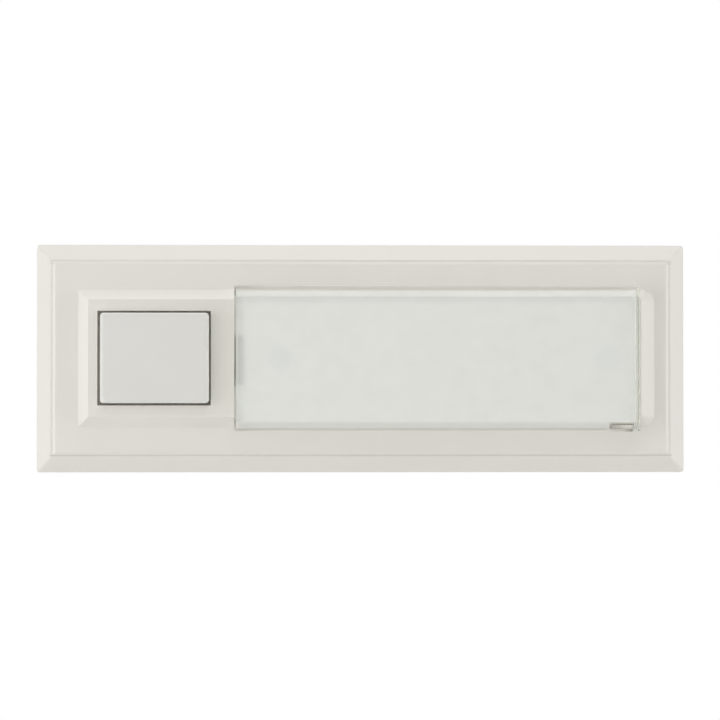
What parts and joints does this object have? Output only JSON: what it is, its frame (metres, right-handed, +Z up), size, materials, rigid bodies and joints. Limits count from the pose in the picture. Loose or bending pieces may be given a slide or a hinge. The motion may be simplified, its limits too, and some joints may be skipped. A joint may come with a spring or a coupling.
{
  "type": "doorbell push button",
  "caption": "Long bevelled wall plate with a rectangular sprung bell button at one end of its raised bar and a clear clip-on window over a name card on the rest.",
  "frame": {"origin": "centre of the wall face: the middle of the plate's length and height, on the plane that lies against the wall", "axes": "+X along the plate to the right as seen from the front, +Y into the wall, +Z up; the front faces -Y"},
  "size_m": [0.1, 0.0161, 0.0352],
  "materials": {
    "plate_plastic": "satin off-white moulded plastic with a fine grain",
    "button_plastic": "smooth satin off-white moulded plastic",
    "clear_window": "clear moulded acrylic, polished",
    "card": "plain white card, unprinted",
    "insulator": "black moulded insulating plastic",
    "spring_steel": "drawn spring wire",
    "contact_bronze": "rolled bronze strip",
    "contact_brass": "rolled brass strip",
    "contact_silver": "silver contact rivet",
    "plated_steel": "bright zinc-plated steel",
    "rivet_brass": "turned brass"
  },
  "bodies": {
    "base": {"front_plate": "plate_plastic", "label_window": "clear_window", "name_card": "card", "contact_base": "insulator", "return_spring": "spring_steel", "moving_contact": "contact_bronze", "fixed_contact": "contact_brass", "fixed_contact_tip": "contact_silver", "terminal_screws": "plated_steel", "terminal_clamps": "plated_steel", "terminal_nuts": "plated_steel", "strip_rivets": "rivet_brass", "base_screws": "plated_steel"},
    "button": {"push_button": "button_plastic", "moving_contact_tip": "contact_silver"}
  },
  "joints": [
    {"name": "button_press", "type": "slide", "parent": "base", "child": "button", "axis": [0, 1, 0], "range_m": [0, 0.0015], "stiffness_N_per_m": 900, "springref_m": -0.002, "deforming": ["return_spring", "moving_contact"]}
  ]
}
